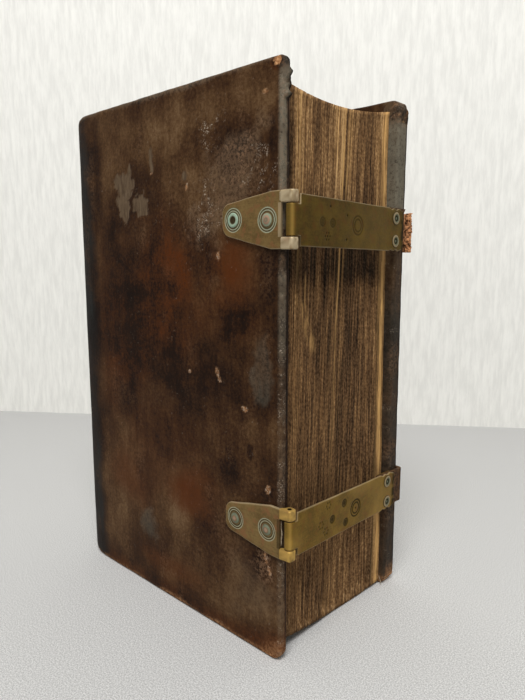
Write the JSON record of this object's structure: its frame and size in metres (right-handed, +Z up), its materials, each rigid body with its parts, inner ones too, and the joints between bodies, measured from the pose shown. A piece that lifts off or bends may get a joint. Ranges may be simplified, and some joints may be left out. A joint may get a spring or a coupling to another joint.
{
  "type": "antique book with clasps",
  "caption": "Thick antique book in worn brown leather over wooden boards, with brass hook clasps across the fore-edge; covers open and clasps swing.",
  "frame": {"origin": "under the middle of the whole book, on the surface it stands on", "axes": "+Z up to the head, +X to the fore-edge, -Y to the front cover and +Y to the back cover"},
  "size_m": [0.1359, 0.079, 0.2],
  "materials": {
    "pages": "aged, dusty trimmed edges",
    "lining": "aged lining paper",
    "cord": "hemp cord",
    "thread": "worked linen thread",
    "leather": "worn dark brown calf",
    "strap_leather": "cracked strap leather",
    "board": "oiled hardwood",
    "brass": "tarnished sheet brass",
    "rivet_brass": "tarnished rivets and tacks"
  },
  "bodies": {
    "text_block": {"text_block": "pages", "sewing_cords": "cord", "head_endband": "thread", "tail_endband": "thread", "spine_leather": "leather"},
    "front_cover": {"front_board": "board", "front_leather": "leather", "front_pastedown": "lining", "upper_catch_plate": "brass", "lower_catch_plate": "brass", "upper_catch_bar": "brass", "lower_catch_bar": "brass", "upper_catch_rivets": "rivet_brass", "lower_catch_rivets": "rivet_brass"},
    "back_cover": {"back_board": "board", "back_leather": "leather", "back_pastedown": "lining", "upper_strap_tail": "strap_leather", "lower_strap_tail": "strap_leather", "upper_tail_tacks": "rivet_brass", "lower_tail_tacks": "rivet_brass"},
    "upper_clasp": {"upper_clasp_plate": "brass", "upper_strap": "strap_leather", "upper_backing_plate": "brass", "upper_strap_rivets": "rivet_brass"},
    "lower_clasp": {"lower_clasp_plate": "brass", "lower_strap": "strap_leather", "lower_backing_plate": "brass", "lower_strap_rivets": "rivet_brass"}
  },
  "joints": [
    {"name": "front_cover_hinge", "type": "hinge", "parent": "text_block", "child": "front_cover", "pos_m": [-0.05819, -0.03441, 0.1], "axis": [0, 0, -1], "range_deg": [0, 150]},
    {"name": "back_cover_hinge", "type": "hinge", "parent": "text_block", "child": "back_cover", "pos_m": [-0.05819, 0.03411, 0.1], "axis": [0, 0, 1], "range_deg": [0, 150]},
    {"name": "upper_clasp_hinge", "type": "hinge", "parent": "front_cover", "child": "upper_clasp", "pos_m": [0.06589, -0.03675, 0.1513], "axis": [0, 0, -1], "range_deg": [0, 150]},
    {"name": "lower_clasp_hinge", "type": "hinge", "parent": "front_cover", "child": "lower_clasp", "pos_m": [0.06589, -0.03675, 0.0486], "axis": [0, 0, -1], "range_deg": [0, 150]}
  ]
}
